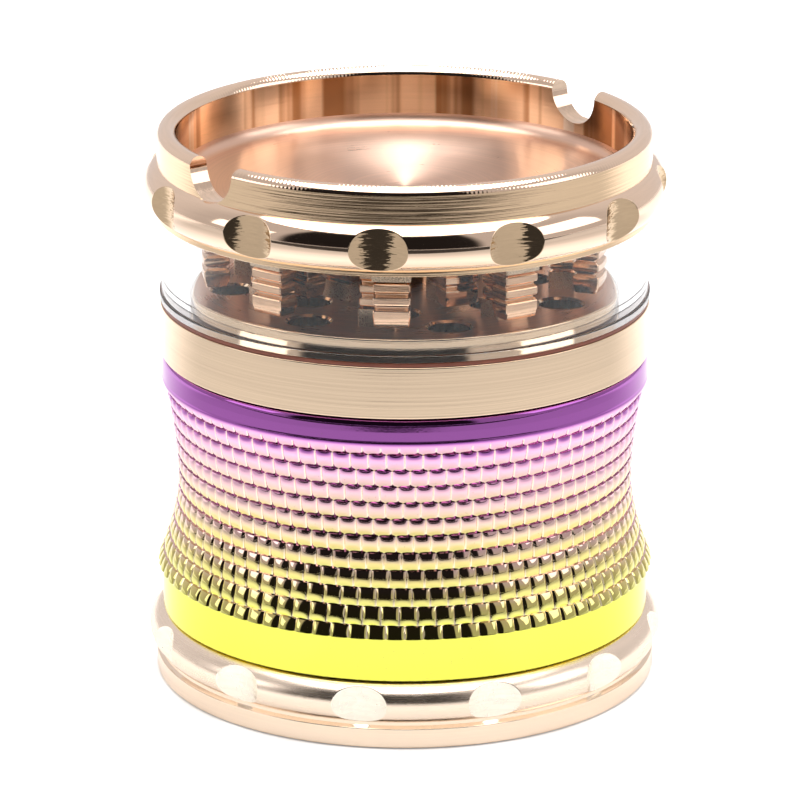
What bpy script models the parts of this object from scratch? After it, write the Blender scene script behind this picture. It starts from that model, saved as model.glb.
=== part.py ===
"""Four-section hand grinder for herbs and spices, built from separate solids.

Metres, +Z up. The origin is the centre of the foot's underside, and the front is -Y.
Every section is turned about the Z axis, and every joint works about or along that axis:
catcher cup, storage section, grinding section with a clear window, and toothed lid with a dish on top.
All sizes below are in millimetres; MM turns them into metres.
"""

import math

import bmesh
import bpy
from mathutils import Matrix

MM = 0.001
OBJECT_NAME = "window_grinder"

# Roundness of the turned pieces, and the clearance left between neighbouring pieces.
TURN_STEPS = 48
SEAL_STEPS = 32
MERGE_DISTANCE = 0.00001
GAP = 0.3
CHAMFER = 0.25
CUTTER_OVERRUN = 2.0

# Catcher cup: foot, half-round grip, cup and the screw spigot that the storage section sits on.
FOOT_RADIUS = 30.6
FOOT_HEIGHT = 2.5
FOOT_RECESS_RADIUS = 25.6
FOOT_RECESS_DEPTH = 0.6
BASE_GRIP_RADIUS = 31.4
BASE_GRIP_TUBE = 2.85
BASE_GRIP_HEIGHT = 5.42
CUP_RADIUS = 25.0
CUP_FLOOR = 2.6
CUP_FILLET = 2.0
SPIGOT_RADIUS = 26.9
CATCHER_TOP = 8.12
CATCHER_SPIGOT_TOP = 12.2
FOOT_CHAMFER = 0.4
# Angles of the grip's half-round section above the outward direction, from its top to its foot.
BASE_GRIP_START = 90
BASE_GRIP_END = -60

# Storage section: smooth bands above and below a waisted grip.
THREAD_RADIUS = 27.25
STORAGE_BOTTOM = CATCHER_TOP + GAP
STORAGE_TOP = 40.28
LOWER_BAND_RADIUS = 29.75
LOWER_BAND_TOP = 13.4
WAIST_BOTTOM = 14.1
WAIST_MIDDLE = 24.5
WAIST_TOP = 36.9
WAIST_RADIUS = 27.75
WAIST_FLARE_BELOW = 2.4
WAIST_FLARE_ABOVE = 1.5
WAIST_POWER = 1.75
WAIST_POINTS = 9
UPPER_BAND_RADIUS = 29.6
UPPER_BAND_EDGE = 0.4
UPPER_BAND_HEIGHT = 1.2
LOWER_BAND_EDGE = 0.3
STORAGE_BORE = 25.4
LEDGE_BORE = 23.5
LEDGE_BOTTOM = 12.8
LEDGE_TOP = 13.9

# Seal rings, let into the ends of the storage section.
SEAL_INNER = 27.55
SEAL_OUTER = 28.25
SEAL_HEIGHT = 0.7
SEAL_SEAT_OUTER = 28.6
SEAL_SEAT_DEPTH = 1.05

# Screen that forms the storage section's floor.
SCREEN_RADIUS = 24.9
SCREEN_THICKNESS = 0.4
SCREEN_RING_OUTER = 25.05
SCREEN_RING_INNER = 23.7
SCREEN_RING_HEIGHT = 0.8

# Grinding section: banded ring, perforated floor, centre post and the clear window round it.
PLATE_BAND_RADIUS = 29.6
PLATE_BAND_BOTTOM = STORAGE_TOP + GAP
PLATE_BAND_TOP = 46.8
PLATE_SPIGOT_BOTTOM = 36.5
PLATE_FLOOR_RADIUS = 25.7
PLATE_FLOOR_TOP = 49.4
PLATE_FLOOR_UNDERSIDE = 46.7
PLATE_FILLET = 1.0
POST_RADIUS = 4.5
POST_TOP = 53.2
HOLE_RADIUS = 2.4
HOLE_SIDES = 12
OUTER_HOLE_CIRCLE = 21.0
OUTER_HOLE_START = 13.8
INNER_HOLE_CIRCLE = 15.0
INNER_HOLE_START = -2.7
HOLES_PER_CIRCLE = 8
WINDOW_INNER = 26.0
WINDOW_OUTER = 29.4
WINDOW_FLANGE = 29.65
WINDOW_FLANGE_HEIGHT = 0.6
WINDOW_TOP = 58.0
WINDOW_EDGE = 0.2
GASKET_THICKNESS = 0.3
GASKET_INNER = 26.3
GASKET_OUTER = 29.3

# Magnets let into the centre post and into the boss under the lid.
MAGNET_RADIUS = 3.3
MAGNET_HEIGHT = 2.0
POCKET_RADIUS = 3.6

# Lid: dish, rim with two rests, half-round grip and the plate that carries the teeth.
RIM_RADIUS = 29.76
RIM_TOP = 68.3
RIM_CROWN = 1.28
RIM_CROWN_REACH = 72.5
DISH_RADIUS = 27.3
DISH_FLOOR = 60.6
DISH_FILLET = 1.8
LID_GRIP_RADIUS = 31.5
LID_GRIP_TUBE = 3.1
LID_GRIP_HEIGHT = 61.15
LID_GRIP_START = 64
LID_GRIP_END = -56
LIP_INNER = 29.75
LIP_BOTTOM = 57.85
LID_SEAT = 59.05
LID_PLUG_RADIUS = 25.6
LID_UNDERSIDE = 58.1
LID_BOSS_BOTTOM = 54.0
GLIDE_INNER = 27.0
GLIDE_OUTER = 29.1
GLIDE_THICKNESS = 0.45
REST_RADIUS = 3.9
REST_HEIGHT = 67.6
REST_AZIMUTH = -50.0

# Scoops in both grips, each cut by an upright round cutter.
SCOOPS = 12
SCOOP_SIDES = 40
SCOOP_CUTTER_RADIUS = 5.9
SCOOP_CUTTER_OFFSET = 36.1
LID_SCOOP_START = -5.6
BASE_SCOOP_START = -10.0

# Teeth: an outline of collar, ridges and tip in the radial direction, extruded to the tooth's width.
# Each ridge has a flat crest, RIDGE_CREST of the pitch long, between two slanted flanks.
TOOTH_WIDTH = 4.2
TOOTH_RIDGES = 3
RIDGE_PITCH = 1.6
RIDGE_CREST = 0.5
RIDGE_DEPTH = 1.4
GROOVE_DEPTH = 0.95
COLLAR_DEPTH = 1.6
COLLAR_HEIGHT = 1.8
TIP_DEPTH = 1.2
TIP_HEIGHT = 0.8
LID_TEETH = (
    ("lid_tooth_outer", 10, 23.1, -3.5),
    ("lid_tooth_inner", 5, 15.5, 23.0),
)
FLOOR_TEETH = (
    ("floor_tooth_outer", 8, 19.3, -8.7),
    ("floor_tooth_inner", 5, 10.6, 30.0),
)


def clear_scene():
    for obj in list(bpy.data.objects):
        bpy.data.objects.remove(obj, do_unlink=True)


def new_collection(name):
    collection = bpy.data.collections.new(name)
    bpy.context.scene.collection.children.link(collection)
    return collection


def make_material(name, colour, roughness, metallic, alpha=1.0):
    material = bpy.data.materials.new(name)
    material.use_nodes = True
    shader = material.node_tree.nodes["Principled BSDF"]
    shader.inputs["Base Color"].default_value = (*colour, 1.0)
    shader.inputs["Roughness"].default_value = roughness
    shader.inputs["Metallic"].default_value = metallic
    shader.inputs["Alpha"].default_value = alpha
    return material


def add_object(name, data, collection, material=None, parent=None):
    obj = bpy.data.objects.new(name, data)
    collection.objects.link(obj)
    if material:
        data.materials.append(material)
    if parent:
        obj.parent = parent
    return obj


def add_axis(name, collection):
    """An empty on the turning axis, which carries the pieces of one moving section."""
    empty = bpy.data.objects.new(name, None)
    collection.objects.link(empty)
    return empty


def turned(name, profile, material, parent, steps=TURN_STEPS):
    """Turn a profile of (radius, height) points about Z.

    The points run out from the axis over the top, down the outer side and back underneath.
    A profile that keeps off the axis is closed into a ring.
    """
    mesh = bpy.data.meshes.new(name)
    points = [(radius * MM, 0.0, height * MM) for radius, height in profile]
    edges = [(i, i + 1) for i in range(len(points) - 1)]
    if profile[0][0] > 0.0:
        edges.append((len(points) - 1, 0))
    mesh.from_pydata(points, edges, [])
    obj = add_object(name, mesh, PARTS, material, parent)
    screw = obj.modifiers.new("turn", "SCREW")
    screw.axis = "Z"
    screw.steps = steps
    screw.render_steps = steps
    screw.use_merge_vertices = True
    screw.merge_threshold = MERGE_DISTANCE
    screw.use_smooth_shade = True
    return obj


def arc(centre_radius, centre_height, radius, height, start, end, count):
    """Points along an elliptical arc of the profile; angles in degrees above the outward direction."""
    points = []
    for i in range(count + 1):
        angle = math.radians(start + (end - start) * i / count)
        points.append((centre_radius + radius * math.cos(angle), centre_height + height * math.sin(angle)))
    return points


def compass(azimuth):
    """Angle about Z, in radians, of a direction given in degrees from the front towards +X."""
    return math.radians(azimuth - 90.0)


def add_cutter(name, cylinders, sides):
    """One closed mesh holding several separate cylinders, each (radius, length, matrix)."""
    mesh = bpy.data.meshes.new(name)
    bm = bmesh.new()
    for radius, length, matrix in cylinders:
        bmesh.ops.create_cone(
            bm,
            cap_ends=True,
            segments=sides,
            radius1=radius * MM,
            radius2=radius * MM,
            depth=length * MM,
            matrix=matrix,
        )
    bm.to_mesh(mesh)
    bm.free()
    cutter = add_object(name, mesh, CUTTERS)
    cutter.hide_render = True
    cutter.display_type = "WIRE"
    return cutter


def cut(obj, cutter):
    boolean = obj.modifiers.new("cut_" + cutter.name, "BOOLEAN")
    boolean.operation = "DIFFERENCE"
    boolean.solver = "EXACT"
    boolean.object = cutter


def upright_cylinders(radius, bottom, top, circle, start, count):
    """Upright cylinders, evenly spaced on a circle about Z."""
    cylinders = []
    for i in range(count):
        angle = compass(start + 360.0 * i / count)
        place = (circle * math.cos(angle) * MM, circle * math.sin(angle) * MM, (bottom + top) / 2 * MM)
        cylinders.append((radius, top - bottom, Matrix.Translation(place) @ Matrix.Rotation(angle, 4, "Z")))
    return cylinders


def cut_scoops(obj, start, bottom, top):
    """Thumb scoops round a grip."""
    cylinders = upright_cylinders(SCOOP_CUTTER_RADIUS, bottom, top, SCOOP_CUTTER_OFFSET, start, SCOOPS)
    cut(obj, add_cutter(obj.name + "_scoops", cylinders, SCOOP_SIDES))


def make_catcher_cup(material):
    grip_centre = BASE_GRIP_RADIUS - BASE_GRIP_TUBE
    grip_tube_height = CATCHER_TOP - BASE_GRIP_HEIGHT
    profile = [(0.0, CUP_FLOOR)]
    profile += arc(CUP_RADIUS - CUP_FILLET, CUP_FLOOR + CUP_FILLET, CUP_FILLET, CUP_FILLET, -90, 0, 3)
    profile += [
        (CUP_RADIUS, CATCHER_SPIGOT_TOP),
        (SPIGOT_RADIUS - GAP, CATCHER_SPIGOT_TOP),
        (SPIGOT_RADIUS, CATCHER_SPIGOT_TOP - GAP),
        (SPIGOT_RADIUS, CATCHER_TOP),
    ]
    profile += arc(
        grip_centre,
        BASE_GRIP_HEIGHT,
        BASE_GRIP_TUBE,
        grip_tube_height,
        BASE_GRIP_START,
        BASE_GRIP_END,
        8,
    )
    profile += [
        (FOOT_RADIUS, FOOT_HEIGHT),
        (FOOT_RADIUS, FOOT_CHAMFER),
        (FOOT_RADIUS - FOOT_CHAMFER, 0.0),
        (FOOT_RECESS_RADIUS + FOOT_RECESS_DEPTH, 0.0),
        (FOOT_RECESS_RADIUS, FOOT_RECESS_DEPTH),
        (0.0, FOOT_RECESS_DEPTH),
    ]
    cup = turned("catcher_cup", profile, material, None)
    cut_scoops(cup, BASE_SCOOP_START, FOOT_HEIGHT + GAP, STORAGE_TOP)


def waist_radius(height):
    """Radius of the waisted grip, narrowest at WAIST_MIDDLE and flaring to both ends."""
    if height < WAIST_MIDDLE:
        share = (WAIST_MIDDLE - height) / (WAIST_MIDDLE - WAIST_BOTTOM)
        return WAIST_RADIUS + WAIST_FLARE_BELOW * share**WAIST_POWER
    share = (height - WAIST_MIDDLE) / (WAIST_TOP - WAIST_MIDDLE)
    return WAIST_RADIUS + WAIST_FLARE_ABOVE * share**WAIST_POWER


def make_storage_body(material, parent):
    profile = [
        (SEAL_SEAT_OUTER, STORAGE_TOP),
        (UPPER_BAND_RADIUS - UPPER_BAND_EDGE, STORAGE_TOP),
        (UPPER_BAND_RADIUS, STORAGE_TOP - UPPER_BAND_EDGE),
        (UPPER_BAND_RADIUS, STORAGE_TOP - UPPER_BAND_HEIGHT),
    ]
    for i in range(WAIST_POINTS + 1):
        height = WAIST_TOP + (WAIST_BOTTOM - WAIST_TOP) * i / WAIST_POINTS
        profile.append((waist_radius(height), height))
    profile += [
        (LOWER_BAND_RADIUS, LOWER_BAND_TOP),
        (LOWER_BAND_RADIUS, STORAGE_BOTTOM + LOWER_BAND_EDGE),
        (LOWER_BAND_RADIUS - LOWER_BAND_EDGE, STORAGE_BOTTOM),
        (SEAL_SEAT_OUTER, STORAGE_BOTTOM),
        (SEAL_SEAT_OUTER, STORAGE_BOTTOM + SEAL_SEAT_DEPTH),
        (THREAD_RADIUS, STORAGE_BOTTOM + SEAL_SEAT_DEPTH),
        (THREAD_RADIUS, LEDGE_BOTTOM),
        (LEDGE_BORE, LEDGE_BOTTOM),
        (LEDGE_BORE, LEDGE_TOP),
        (STORAGE_BORE, LEDGE_TOP),
        (STORAGE_BORE, PLATE_SPIGOT_BOTTOM - GAP),
        (THREAD_RADIUS, PLATE_SPIGOT_BOTTOM - GAP),
        (THREAD_RADIUS, STORAGE_TOP - SEAL_SEAT_DEPTH),
        (SEAL_SEAT_OUTER, STORAGE_TOP - SEAL_SEAT_DEPTH),
    ]
    turned("storage_body", profile, material, parent)


def make_ring(name, inner, outer, bottom, top, material, parent, steps=TURN_STEPS):
    profile = [(inner, top), (outer, top), (outer, bottom), (inner, bottom)]
    turned(name, profile, material, parent, steps)


def make_seal(name, bottom, material, parent):
    """A seal ring of six-sided section."""
    middle = (SEAL_INNER + SEAL_OUTER) / 2
    half = (SEAL_OUTER - SEAL_INNER) / 2
    profile = arc(middle, bottom + SEAL_HEIGHT / 2, half, SEAL_HEIGHT / 2, 120, -180, 5)
    turned(name, profile, material, parent, SEAL_STEPS)


def make_disc(name, radius, bottom, top, material, parent, steps=TURN_STEPS):
    turned(name, [(0.0, top), (radius, top), (radius, bottom), (0.0, bottom)], material, parent, steps)


def make_screen(material, ring_material, parent):
    bottom = LEDGE_TOP + GAP
    top = bottom + SCREEN_THICKNESS
    make_disc("screen_mesh", SCREEN_RADIUS, bottom, top, material, parent)
    ring_bottom = top + GAP
    ring_top = ring_bottom + SCREEN_RING_HEIGHT
    make_ring("screen_ring", SCREEN_RING_INNER, SCREEN_RING_OUTER, ring_bottom, ring_top, ring_material, parent)


def make_grinding_plate(material, parent):
    pocket_floor = POST_TOP - MAGNET_HEIGHT - GAP
    profile = [
        (0.0, pocket_floor),
        (POCKET_RADIUS, pocket_floor),
        (POCKET_RADIUS, POST_TOP),
        (POST_RADIUS, POST_TOP),
        (POST_RADIUS, PLATE_FLOOR_TOP),
        (PLATE_FLOOR_RADIUS, PLATE_FLOOR_TOP),
        (PLATE_FLOOR_RADIUS, PLATE_BAND_TOP),
        (PLATE_BAND_RADIUS - CHAMFER, PLATE_BAND_TOP),
        (PLATE_BAND_RADIUS, PLATE_BAND_TOP - CHAMFER),
        (PLATE_BAND_RADIUS, PLATE_BAND_BOTTOM + CHAMFER),
        (PLATE_BAND_RADIUS - CHAMFER, PLATE_BAND_BOTTOM),
        (SPIGOT_RADIUS, PLATE_BAND_BOTTOM),
        (SPIGOT_RADIUS, PLATE_SPIGOT_BOTTOM + GAP),
        (SPIGOT_RADIUS - GAP, PLATE_SPIGOT_BOTTOM),
        (STORAGE_BORE, PLATE_SPIGOT_BOTTOM),
        (STORAGE_BORE, PLATE_FLOOR_UNDERSIDE - PLATE_FILLET),
        (STORAGE_BORE - PLATE_FILLET, PLATE_FLOOR_UNDERSIDE),
        (0.0, PLATE_FLOOR_UNDERSIDE),
    ]
    plate = turned("grinding_plate", profile, material, parent)
    bottom = PLATE_FLOOR_UNDERSIDE - CUTTER_OVERRUN
    top = PLATE_FLOOR_TOP + CUTTER_OVERRUN
    holes = upright_cylinders(HOLE_RADIUS, bottom, top, OUTER_HOLE_CIRCLE, OUTER_HOLE_START, HOLES_PER_CIRCLE)
    holes += upright_cylinders(HOLE_RADIUS, bottom, top, INNER_HOLE_CIRCLE, INNER_HOLE_START, HOLES_PER_CIRCLE)
    cut(plate, add_cutter("grinding_plate_holes", holes, HOLE_SIDES))


def make_window(material, gasket_material, parent):
    gasket_bottom = PLATE_BAND_TOP + GAP
    gasket_top = gasket_bottom + GASKET_THICKNESS
    make_ring("window_gasket", GASKET_INNER, GASKET_OUTER, gasket_bottom, gasket_top, gasket_material, parent)
    window_bottom = gasket_top + GAP
    flange_top = window_bottom + WINDOW_FLANGE_HEIGHT
    profile = [
        (WINDOW_INNER, WINDOW_TOP),
        (WINDOW_OUTER - WINDOW_EDGE, WINDOW_TOP),
        (WINDOW_OUTER, WINDOW_TOP - WINDOW_EDGE),
        (WINDOW_OUTER, flange_top),
        (WINDOW_FLANGE, flange_top),
        (WINDOW_FLANGE, window_bottom),
        (WINDOW_INNER, window_bottom),
    ]
    turned("window_ring", profile, material, parent)


def make_lid(material, parent):
    pocket_ceiling = LID_BOSS_BOTTOM + MAGNET_HEIGHT + GAP
    rim_middle = (DISH_RADIUS + RIM_RADIUS) / 2
    profile = [(0.0, DISH_FLOOR)]
    profile += arc(DISH_RADIUS - DISH_FILLET, DISH_FLOOR + DISH_FILLET, DISH_FILLET, DISH_FILLET, -90, 0, 3)
    crown_angles = (90 + RIM_CROWN_REACH, 90 - RIM_CROWN_REACH)
    profile += arc(rim_middle, RIM_TOP - RIM_CROWN, RIM_CROWN, RIM_CROWN, *crown_angles, 6)
    grip_centre = LID_GRIP_RADIUS - LID_GRIP_TUBE
    grip_angles = (LID_GRIP_START, LID_GRIP_END)
    profile += arc(grip_centre, LID_GRIP_HEIGHT, LID_GRIP_TUBE, LID_GRIP_TUBE, *grip_angles, 8)
    profile += [
        (profile[-1][0], LIP_BOTTOM),
        (LIP_INNER, LIP_BOTTOM),
        (LIP_INNER, LID_SEAT),
        (LID_PLUG_RADIUS, LID_SEAT),
        (LID_PLUG_RADIUS, LID_UNDERSIDE + GAP),
        (LID_PLUG_RADIUS - GAP, LID_UNDERSIDE),
        (POST_RADIUS, LID_UNDERSIDE),
        (POST_RADIUS, LID_BOSS_BOTTOM),
        (POCKET_RADIUS, LID_BOSS_BOTTOM),
        (POCKET_RADIUS, pocket_ceiling),
        (0.0, pocket_ceiling),
    ]
    lid = turned("lid", profile, material, parent)
    cut_scoops(lid, LID_SCOOP_START, LIP_BOTTOM - CUTTER_OVERRUN, RIM_TOP + CUTTER_OVERRUN)
    along = Matrix.Rotation(compass(REST_AZIMUTH), 4, "Z") @ Matrix.Rotation(math.pi / 2, 4, "Y")
    groove = Matrix.Translation((0.0, 0.0, REST_HEIGHT * MM)) @ along
    cut(lid, add_cutter("lid_rests", [(REST_RADIUS, 3 * LID_GRIP_RADIUS, groove)], SCOOP_SIDES))


def tooth_outline():
    """Outline from the root (height 0) to the tip, as (depth, height) points all the way round."""
    flank = (1 - RIDGE_CREST) / 2 * RIDGE_PITCH
    side = [(COLLAR_DEPTH, 0.0), (COLLAR_DEPTH, COLLAR_HEIGHT)]
    for i in range(TOOTH_RIDGES):
        bottom = COLLAR_HEIGHT + RIDGE_PITCH * i
        side.append((GROOVE_DEPTH, bottom))
        side.append((RIDGE_DEPTH, bottom + flank))
        side.append((RIDGE_DEPTH, bottom + RIDGE_PITCH - flank))
    ridges_top = COLLAR_HEIGHT + RIDGE_PITCH * TOOTH_RIDGES
    side.append((TIP_DEPTH, ridges_top + TIP_HEIGHT))
    return side + [(-depth, height) for depth, height in reversed(side)]


def make_teeth(groups, root_height, direction, material, parent):
    """Rings of teeth; direction is 1 where they stand up from the floor, and -1 where they hang."""
    outline = tooth_outline()
    curve = bpy.data.curves.new(groups[0][0], "CURVE")
    curve.dimensions = "2D"
    curve.fill_mode = "BOTH"
    curve.extrude = TOOTH_WIDTH / 2 * MM
    spline = curve.splines.new("POLY")
    spline.points.add(len(outline) - 1)
    for point, (depth, height) in zip(spline.points, outline):
        point.co = (depth * MM, direction * height * MM, 0.0, 1.0)
    spline.use_cyclic_u = True
    curve.materials.append(material)
    for name, count, circle, start in groups:
        for i in range(count):
            angle = compass(start + 360.0 * i / count)
            tooth = add_object(f"{name}_{i + 1:02d}", curve, PARTS, None, parent)
            tooth.location = (circle * math.cos(angle) * MM, circle * math.sin(angle) * MM, root_height * MM)
            tooth.rotation_euler = (math.pi / 2, 0.0, angle)


clear_scene()
PARTS = new_collection(OBJECT_NAME)
CUTTERS = new_collection(OBJECT_NAME + "_cutters")

rose_gold = make_material("rose_gold", (0.72, 0.47, 0.33), 0.16, 1.0)
champagne = make_material("champagne", (0.69, 0.5, 0.35), 0.24, 1.0)
gradient_coat = make_material("gradient_coat", (0.83, 0.63, 0.45), 0.12, 1.0)
clear_acrylic = make_material("clear_acrylic", (0.95, 0.95, 0.94), 0.05, 0.0, 0.3)
steel = make_material("steel", (0.62, 0.62, 0.6), 0.35, 1.0)
magnet_plating = make_material("magnet_plating", (0.7, 0.7, 0.71), 0.12, 1.0)
seal_rubber = make_material("seal_rubber", (0.11, 0.03, 0.02), 0.6, 0.0)
glide_nylon = make_material("glide_nylon", (0.8, 0.78, 0.72), 0.45, 0.0)

storage_lift_axis = add_axis("storage_lift_axis", PARTS)
storage_axis = add_axis("storage_axis", PARTS)
chamber_lift_axis = add_axis("chamber_lift_axis", PARTS)
chamber_axis = add_axis("chamber_axis", PARTS)
lid_lift_axis = add_axis("lid_lift_axis", PARTS)
lid_axis = add_axis("lid_axis", PARTS)

make_catcher_cup(rose_gold)
make_seal("catcher_seal", CATCHER_TOP + GAP, seal_rubber, storage_lift_axis)
make_storage_body(gradient_coat, storage_axis)
make_screen(steel, rose_gold, storage_axis)
make_seal("chamber_seal", STORAGE_TOP - SEAL_HEIGHT, seal_rubber, chamber_lift_axis)

make_grinding_plate(champagne, chamber_axis)
make_window(clear_acrylic, seal_rubber, chamber_axis)
make_teeth(FLOOR_TEETH, PLATE_FLOOR_TOP + GAP, 1, champagne, chamber_axis)
make_disc(
    "plate_magnet",
    MAGNET_RADIUS,
    POST_TOP - MAGNET_HEIGHT,
    POST_TOP,
    magnet_plating,
    chamber_axis,
    SEAL_STEPS,
)

glide_bottom = WINDOW_TOP + GAP
make_ring(
    "glide_ring",
    GLIDE_INNER,
    GLIDE_OUTER,
    glide_bottom,
    glide_bottom + GLIDE_THICKNESS,
    glide_nylon,
    lid_lift_axis,
)
make_lid(rose_gold, lid_axis)
make_teeth(LID_TEETH, LID_UNDERSIDE - GAP, -1, rose_gold, lid_axis)
make_disc(
    "lid_magnet",
    MAGNET_RADIUS,
    LID_BOSS_BOTTOM,
    LID_BOSS_BOTTOM + MAGNET_HEIGHT,
    magnet_plating,
    lid_axis,
    SEAL_STEPS,
)
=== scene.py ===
"""Looks of a four-section herb grinder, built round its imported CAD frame.

Lengths are millimetres until a mesh is written, when MM turns them into metres.
Azimuths are degrees from the front (-Y) towards +X, so they grow counter-clockwise seen from above.
"""

import math
from collections import namedtuple

import bmesh
import bpy
import numpy as np
from mathutils import Matrix, Vector


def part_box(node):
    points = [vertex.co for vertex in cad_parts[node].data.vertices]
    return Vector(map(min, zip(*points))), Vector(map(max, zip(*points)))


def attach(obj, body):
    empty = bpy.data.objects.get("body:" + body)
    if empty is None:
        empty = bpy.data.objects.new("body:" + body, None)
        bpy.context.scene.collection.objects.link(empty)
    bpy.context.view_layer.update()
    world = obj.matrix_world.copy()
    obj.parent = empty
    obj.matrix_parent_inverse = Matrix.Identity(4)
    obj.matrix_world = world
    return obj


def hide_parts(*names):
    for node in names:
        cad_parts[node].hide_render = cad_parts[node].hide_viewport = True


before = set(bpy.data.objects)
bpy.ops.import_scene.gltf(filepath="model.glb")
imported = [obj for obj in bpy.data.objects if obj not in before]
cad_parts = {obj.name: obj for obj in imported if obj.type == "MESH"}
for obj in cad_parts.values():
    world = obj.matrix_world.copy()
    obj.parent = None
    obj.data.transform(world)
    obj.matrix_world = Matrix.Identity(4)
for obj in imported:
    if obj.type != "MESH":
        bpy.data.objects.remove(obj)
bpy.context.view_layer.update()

MM = 0.001

# This script's materials by name; Blender may number them, since the frame's own hold some of the names.
MATERIALS = {}

Span = namedtuple("Span", "radius bottom top")


def span(node):
    """Outer radius, bottom and top of a CAD node that is turned about Z."""
    low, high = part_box(node)
    return Span((high.x - low.x) / 2 / MM, low.z / MM, high.z / MM)


# ---- sizes

CUP = span("catcher_cup")
STORAGE = span("storage_body")
PLATE = span("grinding_plate")
WINDOW = span("window_ring")
GLIDE = span("glide_ring")
LID = span("lid")
LID_MAGNET = span("lid_magnet")
PLATE_MAGNET = span("plate_magnet")
CATCHER_SEAL = span("catcher_seal")
CHAMBER_SEAL = span("chamber_seal")
SCREEN = span("screen_mesh")
SCREEN_RING = span("screen_ring")

# A half-round grip: largest radius, its tube's radial and vertical half-axes, its centre's height, the scooped
# stretch's angles above the outward direction, and the azimuth of the first scoop's middle.
Grip = namedtuple("Grip", "radius tube rise height low high scoop_start")
BASE_SHOULDER = 8.12
BASE_GRIP = Grip(31.4, 2.85, BASE_SHOULDER - 5.42, 5.42, -56.0, 58.0, -10.0)
LID_GRIP = Grip(31.5, 3.1, 3.1, 61.15, -56.0, 58.0, -5.6)

# Thumb scoops, cut by an upright round cutter; EDGE is the width of the polished break round each.
SCOOPS = 12
SCOOP_CUTTER = 5.9
SCOOP_OFFSET = 36.1
EDGE = 0.07

# Points round a turned piece, and those across and up one scoop's sector.
SECTOR_COLUMNS = 40
SECTOR_ROWS = 24
COLUMNS = SCOOPS * SECTOR_COLUMNS

# Screw threads between the sections: one start, right-handed.
THREAD_LEAD = 2.0
THREAD_FLANK = 0.2
THREAD_CREST = 0.15
THREAD_STEP = 0.13
MALE_ROOT = 26.45
MALE_CREST = 27.05
THREAD_CLEARANCE = 0.15

# Knurl of the storage section: cells in rows, each row moved on by KNURL_SHIFT of a cell. A cell stands
# highest at KNURL_CREST of its half-height below its middle (so above it), and its lower edge is sunk by
# KNURL_DEPTH, under a small ledge at the next row's upper edge. Seams part the cells of a row: they start
# at KNURL_SEAM of a cell's half-width.
KNURL_CELLS = 84
CELL_COLUMNS = 10
KNURL_SHIFT = 0.3
KNURL_TOP = 36.9
KNURL_BOTTOM = 13.56
FIRST_ROW = 35.9
ROW_PITCH = 2.09
ROW_STEPS = 5
LEDGE_SHARE = 0.015
KNURL_DEPTH = 0.35
KNURL_CREST = -0.2
KNURL_GROOVE = 0.6
KNURL_POWER = 2.5
KNURL_SEAM = 0.8
KNURL_SEAM_DEPTH = 0.11

# Rings of teeth: name, count, circle radius and azimuth of the first.
LID_TEETH = (("lid_tooth_outer", 10, 23.1, -3.5), ("lid_tooth_inner", 5, 15.5, 23.0))
FLOOR_TEETH = (("floor_tooth_outer", 8, 19.3, -8.7), ("floor_tooth_inner", 5, 10.6, 30.0))

# Sieve holes of the grinding plate: (circle radius, azimuth of the first).
HOLES_PER_CIRCLE = 8
HOLE_RADIUS = 2.4
HOLE_SIDES = 40
HOLE_CIRCLES = ((21.0, 13.8), (15.0, -2.7))
HOLE_CHAMFER = 0.28

# Heights of the faces that the teeth and the window stand on; the CAD teeth start TOOTH_GAP away from theirs.
CHAMBER_FLOOR = 49.4
LID_UNDERSIDE = 58.1
TOOTH_GAP = 0.3
WINDOW_SEAT = 47.36


# ---- mesh tools

# Straight parts of a profile longer than LONG_PART get extra points SUPPORT from their ends.
LONG_PART = 0.6
SUPPORT = 0.04


def arc(centre_radius, centre_height, radial, vertical, start, end, count):
    """Profile points on an elliptical arc; angles in degrees above the outward direction."""
    angles = np.radians(np.linspace(start, end, count + 1))
    return [(centre_radius + radial * math.cos(a), centre_height + vertical * math.sin(a)) for a in angles]


def corner(radius, height, edge, start, count=5):
    """Rounded edge whose two faces would meet at (radius, height), turning clockwise from the start angle.

    start is 180 at an inner top edge, 90 at an outer top edge, 0 at an outer bottom edge and -90 at an
    inner bottom edge.
    """
    inwards = 1 if start in (180, -90) else -1
    upwards = 1 if start in (0, -90) else -1
    return arc(radius + inwards * edge, height + upwards * edge, edge, edge, start, start - 90, count)


def supported(profile):
    """A profile with extra points near both ends of each long straight part, so that it is shaded flat."""
    points = [profile[0]]
    for start, end in zip(profile[:-1], profile[1:]):
        length = math.dist(start, end)
        if length > LONG_PART:
            step = np.subtract(end, start) * SUPPORT / length
            points += [tuple(np.add(start, step)), tuple(np.subtract(end, step))]
        points.append(end)
    return points


def polar(radius, azimuth, height):
    """Points from arrays of radius, azimuth in radians and height."""
    radius, azimuth, height = np.broadcast_arrays(radius, azimuth, height)
    return np.stack([radius * np.sin(azimuth), -radius * np.cos(azimuth), height], axis=-1)


def azimuths(columns, start=0.0):
    return np.radians(start + np.arange(columns + 1) * 360.0 / columns)


def smoothed(mesh, sharp=30.0):
    """The mesh, smooth but for edges sharper than an angle in degrees."""
    mesh.shade_smooth()
    mesh.set_sharp_from_angle(angle=math.radians(sharp))
    return mesh


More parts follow.
